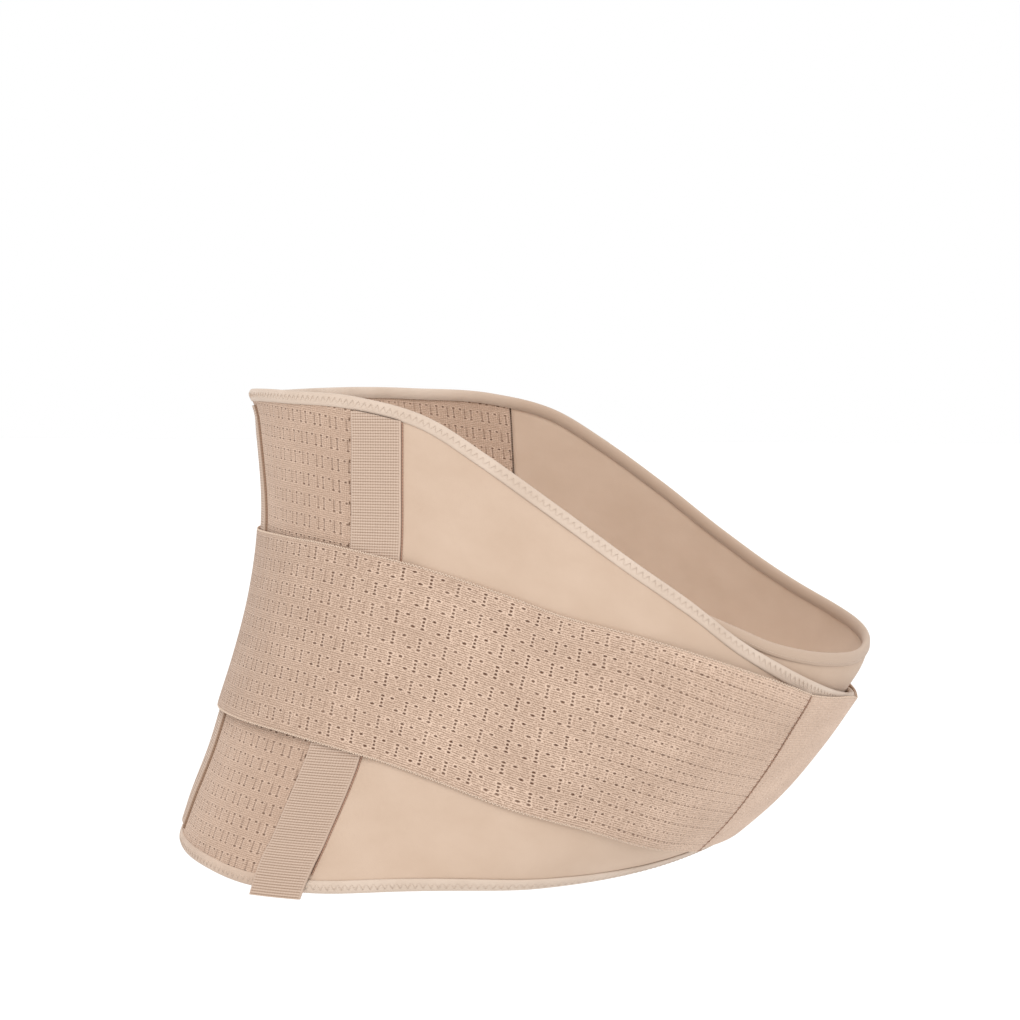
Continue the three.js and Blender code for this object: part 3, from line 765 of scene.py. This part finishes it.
def hem_line():
    """The bottom edge of the back, from the right side tape to the left one."""
    start = tape_angle(SIDE_TAPE_LINE, -BELT_HEIGHT / 2) + JOIN_TURN
    own = np.linspace(start, 360 - start, 1500)
    return own, edge_height(RIGHT_BOTTOM_EDGE, 180 - np.abs(180 - own)), np.zeros(len(own))


def straight_at(angle):
    """Share of straight stitching: all of it on the left wing's edge at the front, else none."""
    return over_rise(angle, (296, 304), 0, 1)


def front_taper(angle):
    """Share by which the top binding is pulled narrower towards the right wing's end."""
    return over_rise(angle, (32, 4), 0, FRONT_TAPER)


right_bottom = bottom_line(1, RIGHT_BOTTOM_EDGE, RIGHT_WING_END, right_wing_lift)
left_bottom = bottom_line(-1, LEFT_BOTTOM_EDGE, LEFT_WING_END, np.zeros_like)
down, up = -np.pi / 2, np.pi / 2
no_taper = np.zeros_like
for name, node, line, turn, taper_at, material, flat in (
    ("binding_top", "top_binding", top_line(), down, front_taper, binding, (0.0165, 0.98)),
    ("binding_bottom_right", "bottom_binding_right", right_bottom, down, no_taper, binding, (0.0165, 0.27)),
    ("binding_bottom_left", "bottom_binding_left", left_bottom, up, no_taper, binding, (0.0165, 0.36)),
    ("hem_back", "back_hem", hem_line(), up, no_taper, hem_tape, (0.0165, 0.42)),
):
    tape, spots = binding_wall(name, *line, turn, taper_at, material)
    stitches = zigzag_stitches(name + "_stitches", spots, taper_at, thread)
    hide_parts(node)

# Side tapes: firm webbing 27 mm wide over the joins of back panel and wings, ribbed straight across,
# with a smooth selvage on both sides. It ends under the top binding and 3 mm past the bottom edge.
SIDE_TAPE_WIDTH = 0.027
TAPE_WALL = 0.0012
TAPE_LIFT = 0.0027
TAPE_OVER_BINDING = BINDING_OUTER + CLEARANCE
TAPE_OVERHANG = 0.003
RIB_PITCH = 0.0014
RIB_DEPTH = 0.00028
SHADOW_LINE_LIFT = PANEL_WALL + 0.0002
SIDE_SHADOW_LINE_RADIUS = 0.00045
DENT_RADIUS = 0.00034
DENT_HALF = 0.0007


def webbing_material():
    """Ribbed webbing: light ridges and furrows of brown painted shade 1.4 mm apart, with columns
    lengthwise that fade towards its bottom end, where the painted shade deepens."""
    material, shader, place = new_material("ribbed webbing", 0.85, 0.1)
    down, across, _ = split(place)
    ribs = split(stored(place.tree, "ribs"))[0]
    yarn = cloudy(place, (2.2, 1.1, 1.0), 2.0, 0.6)
    columns = wave(across, 1.35) * (0.20 - down * 0.0006)
    # Painted shade: the furrows are mixed to dark brown, more so lower down
    crest = clamp(columns + ribs - down * 0.0004 + yarn * 0.35 - 0.17)
    colour = blend(crest, (0.29, 0.185, 0.125), (0.60, 0.455, 0.36))
    set_surface(shader, colour, wave(across, 0.7) * 0.3 + yarn, 0.00015)
    return material


webbing = webbing_material()


def tape_places(line, width, high, low, count):
    """Places down a tape's middle line, and there the level width that gives a tape of even width."""
    fine = np.linspace(high, low, 2000)
    angle, height, along = even_places(tape_angle(line, fine), fine, count)
    return angle, height, along, width / np.abs(np.sin(line_heading(angle, height)))


def tape_wall(name, side, width, line, high, low, lift_at):
    """Tape of even width down a line of the form with level ends. Its face is ribbed: the height of
    a rib follows |sin|^0.8, and it fades within 1 mm of the selvages."""
    count = int(abs(high - low) / RIB_PITCH * 7)
    spot_angle, spot_height, along, level_width = tape_places(line, width, high, low, count)
    share = np.array([-0.5, -0.488, -0.47, -0.45, -0.36, -0.18, 0, 0.18, 0.36, 0.45, 0.47, 0.488, 0.5])
    a, h = walk(spot_angle[:, None], spot_height[:, None], 0.0, level_width[:, None] * share)
    h = np.minimum(h, edge_height(RIGHT_TOP_EDGE, a) - BINDING_WIDTH - 0.0001)
    from_selvage = (0.5 - np.abs(share)) * width
    inside = np.clip(from_selvage / 0.001 - 0.4, 0, 1)
    crest = np.abs(np.sin(np.pi * along / RIB_PITCH))[:, None] ** 0.8
    crest = crest * inside + 0.85 * (1 - inside)
    round_edge = np.sqrt(np.clip(from_selvage / 0.0006, 0.15, 1))
    lift = lift_at(spot_height)[:, None]
    outer = lifted(side * a, h, lift + TAPE_WALL * round_edge - RIB_DEPTH * (1 - crest))
    inner = lifted(side * a, h, lift)
    # The crest is stored for the material, which paints shade into the furrows
    ribs = np.stack([crest, np.zeros_like(crest), np.zeros_like(crest)], -1)
    return cloth_wall(name, outer, inner, flat_grid(along, width * share), webbing, {"ribs": ribs})


def side_tape_ends():
    """Heights of a side tape's ends: at the top binding's lip, and 3 mm below the bottom edge."""
    rear = tape_angle(SIDE_TAPE_LINE, BELT_HEIGHT / 2) + np.degrees(SIDE_TAPE_WIDTH / 2 / HALF_WIDTH)
    bottom = tape_angle(SIDE_TAPE_LINE, -BELT_HEIGHT / 2)
    high = edge_height(RIGHT_TOP_EDGE, rear) - BINDING_WIDTH - 0.0006
    return high, edge_height(RIGHT_BOTTOM_EDGE, bottom) - TAPE_OVERHANG


def side_tape_lift(height):
    """The tape rises over the bottom binding within 9 mm."""
    start = side_tape_ends()[1] + BINDING_WIDTH + TAPE_OVERHANG + 0.018
    return over_rise(height, (start, start - 0.009), TAPE_LIFT, TAPE_OVER_BINDING)


def thread_and_shadow_material(name, colour):
    """Sewing thread and cords of painted shadow: one colour with painted shade in the twist."""
    material, shader, place = new_material(name, 0.7, 0.0)
    twist = reckon("SINE", split(place)[0] * 4.0) * 0.5 + 0.5
    # Painted shade: a quarter darker where the twist turns under
    join(blend(twist, tuple(0.75 * c for c in colour), colour), shader.inputs["Base Color"])
    return material


def tape_shadow_line(name, side, width, line, high, low, radius, material):
    """Dark cord of painted shadow down a tape's front edge, in the corner between tape and panel."""
    spot_angle, spot_height, _, level_width = tape_places(line, width, high, low, 240)
    a, h = walk(spot_angle, spot_height, 0.0, -level_width / 2 - radius)
    h = np.minimum(h, edge_height(RIGHT_TOP_EDGE, a) - BINDING_WIDTH - 0.001)
    return thread_tubes(name, side * a, h, SHADOW_LINE_LIFT, radius, material)


# Reddish cord: sewing thread in the hem ticks, painted shadow line along the side tapes
reddish_thread_and_shadow = thread_and_shadow_material("reddish thread and painted shadow line", (0.40, 0.235, 0.165))
# Brown cord: the spine tapes' painted shadow line
painted_spine_shadow = thread_and_shadow_material("brown painted spine shadow line", (0.30, 0.185, 0.122))
# Darkest cord: painted shade in the needle dents beside the side tapes
painted_dent_shade = thread_and_shadow_material("dark painted dent shade", (0.22, 0.13, 0.085))

high, low = side_tape_ends()
for name, node, side in (
    ("tape_side_right", "side_tape_right", 1),
    ("tape_side_left", "side_tape_left", -1),
):
    tape = tape_wall(name, side, SIDE_TAPE_WIDTH, SIDE_TAPE_LINE, high, low, side_tape_lift)
    # The reddish cord down the tape's front edge is its painted shadow line
    seam = tape_shadow_line(name + "_edge_shadow", side, SIDE_TAPE_WIDTH, SIDE_TAPE_LINE, high, low + 0.012,
                     SIDE_SHADOW_LINE_RADIUS, reddish_thread_and_shadow)
    # Short dark cords at each weave row beside the tape are painted shade in needle dents
    rows_up = (np.arange(-12, 14) + 0.35) * ROW_PITCH / 1000
    rows_up = rows_up[(rows_up < high - 0.004) & (rows_up > low + 0.014), None]
    dent_heights = rows_up + np.linspace(-DENT_HALF, DENT_HALF, 5)
    a, h = walk(tape_angle(SIDE_TAPE_LINE, rows_up), dent_heights, 0.0, SIDE_TAPE_WIDTH / 2 + 0.0016)
    dents = thread_tubes(name + "_needle_dents", side * a, h, PANEL_WALL + 0.0001, DENT_RADIUS, painted_dent_shade)
    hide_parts(node)

# Spine tapes: two narrower tapes of the same webbing down the back, one on each side of the middle.
# They sink to the panel under the top binding, and a thick brown cord of painted shadow runs
# down their front edge.
SPINE_TAPE_WIDTH = 0.020
SPINE_SHADOW_LINE_RADIUS = 0.0009
SPINE_TAPE_LINE = table("height angle", [
    (-0.45, 145), (-0.33, 142), (-0.20, 140), (0.00, 140), (0.22, 143), (0.35, 147), (0.55, 153),
])


def spine_tape_lift(height):
    """The tape sinks to the panel within 14 mm of the top binding."""
    return over_rise(height, (0.122, 0.108), 0.0023, TAPE_LIFT)


high = edge_height(RIGHT_TOP_EDGE, 180) - BINDING_WIDTH
low = edge_height(RIGHT_BOTTOM_EDGE, 180) + BINDING_WIDTH
for name, node, side in (
    ("tape_spine_right", "spine_tape_right", 1),
    ("tape_spine_left", "spine_tape_left", -1),
):
    tape = tape_wall(name, side, SPINE_TAPE_WIDTH, SPINE_TAPE_LINE, high - 0.0012, low + 0.003,
                     spine_tape_lift)
    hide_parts(node)
    # The brown cord down the tape's front edge is its painted shadow line
    seam = tape_shadow_line(name + "_edge_shadow", side, SPINE_TAPE_WIDTH, SPINE_TAPE_LINE, high - 0.001, low + 0.001,
                     SPINE_SHADOW_LINE_RADIUS, painted_spine_shadow)

# Pull straps: wide woven elastic, sewn on at the middle of the back and drawn forward over each side.
# The elastic is most stretched over the side, where its cells are longest and its holes open.
STRAP_WIDTH = 0.095
STRAP_WALL = 0.0013
STRAP_LIFT = TAPE_LIFT + TAPE_WALL + CLEARANCE
STRAP_OVER_WING = 0.0084
STRAP_OVER_PANEL = 0.0027
STRAP_OVER_BINDING = 0.0038
STRAP_OVER_STRAP = 0.0110
RIGHT_STRAP_END = 27.3
RIGHT_END_TILT = 0.05
LEFT_STRAP_END = -35
LEFT_LEAN = 0.0052
LEFT_PINCH = 0.15
LOOP_PITCH = 0.0015
LOOP_REACH = 0.00045
LOOP_RADIUS = 0.0003
STRAP_LINE = table("angle height", [
    (-40, -0.208), (-24, -0.235), (-8, -0.246), (10, -0.244), (24, -0.233), (33, -0.213),
    (42, -0.189), (48, -0.169), (59, -0.130), (71, -0.092), (81, -0.053), (88, -0.028),
    (96, -0.003), (104, 0.016), (113, 0.033), (126, 0.044), (150, 0.047), (180, 0.047),
])
STRAP_WEAVE = table("angle cell middle ends ridge", [
    (-40, 5.0, 0.0, 0.00, 0.3),
    (20, 5.0, 0.0, 0.00, 0.3),
    (27, 5.0, 0.0, 0.22, 0.3),
    (36, 5.6, 0.0, 0.38, 0.3),
    (45, 7.2, 0.05, 0.62, 0.2),
    (56, 10.0, 0.40, 0.85, 0.1),
    (68, 12.6, 0.95, 1.0, 0.0),
    (90, 12.9, 1.0, 1.0, 0.1),
    (108, 12.0, 0.85, 0.9, 0.5),
    (125, 11.0, 0.65, 0.75, 0.9),
    (180, 11.0, 0.5, 0.6, 0.9),
])
STRAP_FIRST_ROW = 24.4
elastic_strap = elastic_material("strap elastic", (0.36, 0.240, 0.171), (0.72, 0.530, 0.408))


def strap_line(end):
    """A strap's middle line from the middle of the back to 2 degrees beyond its end, with the heading
    of the cross lines and the distance at which the strap ends."""
    own = np.linspace(180 - np.degrees(0.0003 / BACK_REACH), end - 2, 3000)
    spot_angle, spot_height, along = even_places(own, edge_height(STRAP_LINE, own), 600)
    heading = np.unwrap(line_heading(spot_angle, spot_height)) - np.pi / 2
    return spot_angle, spot_height, along, heading, np.interp(-end, -spot_angle, along)


def strap_place(line, tilt, pinch_at, along, across):
    """Place on a strap at a distance along its middle line and a distance across it. Within 60 mm of
    the end the cross lines tilt, and the upper half is drawn in by a share where the cloth gathers."""
    spot_angle, spot_height, spot_along, heading, total = line
    along = along + over_rise(along - total, (-0.06, 0), 0, tilt) * across
    a, h, turn = (np.interp(along, spot_along, value) for value in (spot_angle, spot_height, heading))
    return walk(a, h, turn, across * (1 - pinch_at(a) * (across > 0)))


def strap_wall(name, side, line, tilt, pinch_at, lift_at):
    """Strap of even width along its middle line. Its rows run from bottom to top, and the wall thins
    to a round selvage within 0.6 mm of both."""
    along = np.linspace(0, line[4], 400 if side > 0 else 480)
    spot_angle = np.interp(along, line[2], line[0])
    half = STRAP_WIDTH / 2
    across = np.concatenate([
        [-half, -half + 0.0002, -half + 0.0006], np.linspace(-half + 0.0013, half - 0.0013, 55),
        [half - 0.0006, half - 0.0002, half],
    ])
    a, h = strap_place(line, tilt, pinch_at, along[:, None], across)
    round_side = np.sqrt(np.clip((half - np.abs(across)) / 0.0006, 0.2, 1))
    round_end = np.sqrt(np.clip((along[-1] - along) / 0.001, 0.25, 1))[:, None]
    lift = lift_at(a, h)
    outer = lifted(side * a, h, lift + STRAP_WALL * round_side * round_end)
    inner = lifted(side * a, h, lift)
    cloth = flat_grid(along, across)
    rows = cloth[..., 1] / ROW_PITCH + STRAP_FIRST_ROW
    values = weave_values(STRAP_WEAVE, np.broadcast_to(spot_angle[:, None], a.shape), cloth[..., 0], rows)
    return cloth_wall(name, outer, inner, cloth, elastic_strap, values)


def edge_loops(name, side, line, tilt, pinch_at, lift_at):
    """Looped selvage thread along both long sides: a wave 0.9 mm wide with a crest every 1.5 mm."""
    along = np.linspace(0, line[4] - 0.0004, int(line[4] / LOOP_PITCH) * 7)
    inset = LOOP_REACH * np.cos(2 * np.pi * along / LOOP_PITCH) + 0.0001
    across = np.stack([inset - STRAP_WIDTH / 2, STRAP_WIDTH / 2 - inset])
    a, h = strap_place(line, tilt, pinch_at, along, across)
    return thread_tubes(name, side * a, h, lift_at(a, h) + STRAP_WALL * 0.72, LOOP_RADIUS, loop_thread)


def over_tapes(angle):
    """Lift of a strap: over the tapes it lies on them, and in front of the side tape it sinks to the
    wing within 5 degrees."""
    return over_rise(angle, (98.5, 93.5), STRAP_LIFT, STRAP_OVER_PANEL)


def right_strap_lift(angle, height):
    """The right strap rises with the right wing, and then over the left strap's end."""
    return over_rise(angle, (60, 42), over_tapes(angle) + right_wing_lift(angle), STRAP_OVER_STRAP)


def left_strap_lift(angle, height):
    """The left strap rises over the right wing's end at the front, and above the right wing's top
    edge it leans back towards the left wing by 5.2 mm within 12 mm."""
    over_binding = over_rise(angle, (60, 46), over_tapes(angle), STRAP_OVER_BINDING)
    lift = over_rise(angle, (26, 13.5), over_binding, STRAP_OVER_WING)
    above = over_rise(height - edge_height(RIGHT_TOP_EDGE, -angle), (-0.001, 0.011), 0, 1)
    return lift - LEFT_LEAN * above * over_rise(angle, (30, 18), 0, 1)


def left_pinch(angle):
    """Share by which the left strap's upper half is drawn in where it rounds the front."""
    return LEFT_PINCH * over_rise(angle, (36, 14), 0, 1) * over_rise(angle, (9, -12), 1, 0)


loop_thread = thread_and_shadow_material("selvage loops", (0.72, 0.56, 0.44))
right_line, left_line = strap_line(RIGHT_STRAP_END), strap_line(LEFT_STRAP_END)
left_shape = left_line, 0.0, left_pinch, left_strap_lift
right_shape = right_line, RIGHT_END_TILT, np.zeros_like, right_strap_lift
for name, node, side, shape, flat, below in (
    ("strap_left", "pull_strap_left", -1, left_shape, (0.095, 0.58), ["wing_left", "wing_right"]),
    ("strap_right", "pull_strap_right", 1, right_shape, (0.095, 0.42), ["wing_right", "strap_left"]),
):
    strap = strap_wall(name, side, *shape)
    loops = edge_loops(name + "_edge_loops", side, *shape)
    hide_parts(node)

# Hem of the right strap's end: a brown cord of painted shadow lies along the cut edge, and short
# ticks of reddish thread, about 3 mm apart, hold the hem down.
HEM_SHADOW_RADIUS = 0.00048
TICK_RADIUS = 0.00022
painted_hem_shadow = thread_and_shadow_material("brown painted hem shadow line", (0.45, 0.29, 0.21))
across = np.linspace(-STRAP_WIDTH / 2 + 0.0006, STRAP_WIDTH / 2 - 0.0006, 120)
a, h = strap_place(*right_shape[:3], right_line[4] + 0.0006, across)
# Painted shadow: the brown cord along the end stands for the shade under it
hem_shadow_line = thread_tubes("strap_right_hem_shadow_line", a, h, STRAP_OVER_STRAP + 0.0008, HEM_SHADOW_RADIUS, painted_hem_shadow)
share = np.linspace(0, 1, 7)
a, h = strap_place(*right_shape[:3], right_line[4] - 0.0022 + 0.0034 * share, across[::4, None])
arch = STRAP_OVER_STRAP + STRAP_WALL + 0.0003 - 0.0006 * share ** 3 - 0.0004 * (1 - share) ** 6
ticks = thread_tubes("strap_right_hem_ticks", a, h, arch, TICK_RADIUS, reddish_thread_and_shadow)

# Hook pads: stiff pads of fine hooks that hold the right wing on the left one and the right strap on
# the left one. Both are closed in use, so only their edges could ever show.
WING_PAD_WALL = 0.0013
STRAP_PAD_WALL = 0.0005
STRAP_PAD_LIFT = 0.0101


def hook_material():
    """Field of fine hooks: a grid of small bumps 1.2 mm apart, with painted shade between them."""
    material, shader, place = new_material("hook field", 0.7, 0.0)
    cells = place.tree.nodes.new("ShaderNodeTexVoronoi")
    cells.inputs["Scale"].default_value = 0.85
    cells.inputs["Randomness"].default_value = 0.25
    join(place, cells.inputs["Vector"])
    distance = Output(place.tree, cells.outputs["Distance"])
    # Painted shade: darker away from each bump's middle
    set_surface(shader, blend(distance, (0.62, 0.48, 0.38), (0.45, 0.33, 0.25)), 1.0 - distance, 0.0004)
    return material


hooks = hook_material()


def pad_wall(name, middle, length, width, height_at, lift, wall):
    """Pad of even width along a line of the form, about an angle."""
    half = np.degrees(length / 2 / FRONT_REACH)
    own = np.linspace(middle - half, middle + half, 400)
    spot_angle, spot_height, along = even_places(own, height_at(own), 40)
    heading = line_heading(spot_angle, spot_height)[:, None] + np.pi / 2
    across = np.linspace(-width / 2, width / 2, 25)
    a, h = walk(spot_angle[:, None], spot_height[:, None], heading, across)
    return cloth_wall(name, lifted(a, h, lift + wall), lifted(a, h, lift), flat_grid(along, across), hooks)


wing_pad_middle = (RIGHT_WING_END - LEFT_WING_END) / 2
wing_pad = pad_wall("hooks_wing", wing_pad_middle, 0.090, 0.050,
                    lambda angle: np.full(angle.shape, edge_height(STRAP_LINE, wing_pad_middle)),
                    PANEL_WALL + CLEARANCE, WING_PAD_WALL)
strap_pad = pad_wall("hooks_strap", (RIGHT_STRAP_END - LEFT_STRAP_END) / 2, 0.022, 0.062,
                     lambda angle: edge_height(STRAP_LINE, angle), STRAP_PAD_LIFT, STRAP_PAD_WALL)
for pad, node, flat in (
    (wing_pad, "front_hook_pad", (0.050, 0.090)),
    (strap_pad, "strap_hook_pad", (0.062, 0.022)),
):
    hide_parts(node)

# Studio: white floor and surroundings with one broad soft light from the right side, and a camera at
# standing distance, 13 degrees round from the side and 2.8 degrees up.
FLOOR_HALF = 40
FLOOR_HEIGHT = -0.9
CAMERA_DISTANCE = 1.5
CAMERA_TARGET = Vector((0, 0, 0.066))
white_floor = bpy.data.materials.new("white floor")
white_floor.use_nodes = True
shader = white_floor.node_tree.nodes["Principled BSDF"]
shader.inputs["Base Color"].default_value = (0.93, 0.93, 0.93, 1)
shader.inputs["Roughness"].default_value = 0.9
floor_mesh = bpy.data.meshes.new("floor")
corners = [(x * FLOOR_HALF, y * FLOOR_HALF, FLOOR_HEIGHT) for x, y in ((-1, -1), (1, -1), (1, 1), (-1, 1))]
floor_mesh.from_pydata(corners, [], [(0, 1, 2, 3)])
floor_mesh.materials.append(white_floor)
floor = bpy.data.objects.new("floor", floor_mesh)
bpy.context.scene.collection.objects.link(floor)

world = bpy.data.worlds.new("white studio")
world.use_nodes = True
world.node_tree.nodes["Background"].inputs["Color"].default_value = (1, 1, 1, 1)
world.node_tree.nodes["Background"].inputs["Strength"].default_value = 1.0
bpy.context.scene.world = world


def aimed(name, data, azimuth, elevation):
    """Light or camera that looks at the belt, and the direction it stands in. The azimuth is counted
    from the right side towards the front."""
    a, e = np.radians([azimuth, elevation])
    way = Vector((np.sin(a) * np.cos(e), -np.cos(a) * np.cos(e), np.sin(e)))
    thing = bpy.data.objects.new(name, data)
    thing.rotation_mode = "QUATERNION"
    thing.rotation_quaternion = way.to_track_quat("Z", "Y")
    bpy.context.scene.collection.objects.link(thing)
    return thing, way


sun = bpy.data.lights.new("key_light", "SUN")
sun.energy = 1.1
sun.angle = np.radians(35)
aimed("key_light", sun, 8, 46)

lens = bpy.data.cameras.new("camera")
lens.lens = 98.04
lens.sensor_width = 36
camera, way = aimed("camera", lens, 13.0, 2.8)
camera.location = CAMERA_TARGET + way * CAMERA_DISTANCE
bpy.context.scene.camera = camera
bpy.context.scene.view_settings.view_transform = "Standard"

bpy.context.view_layer.update()
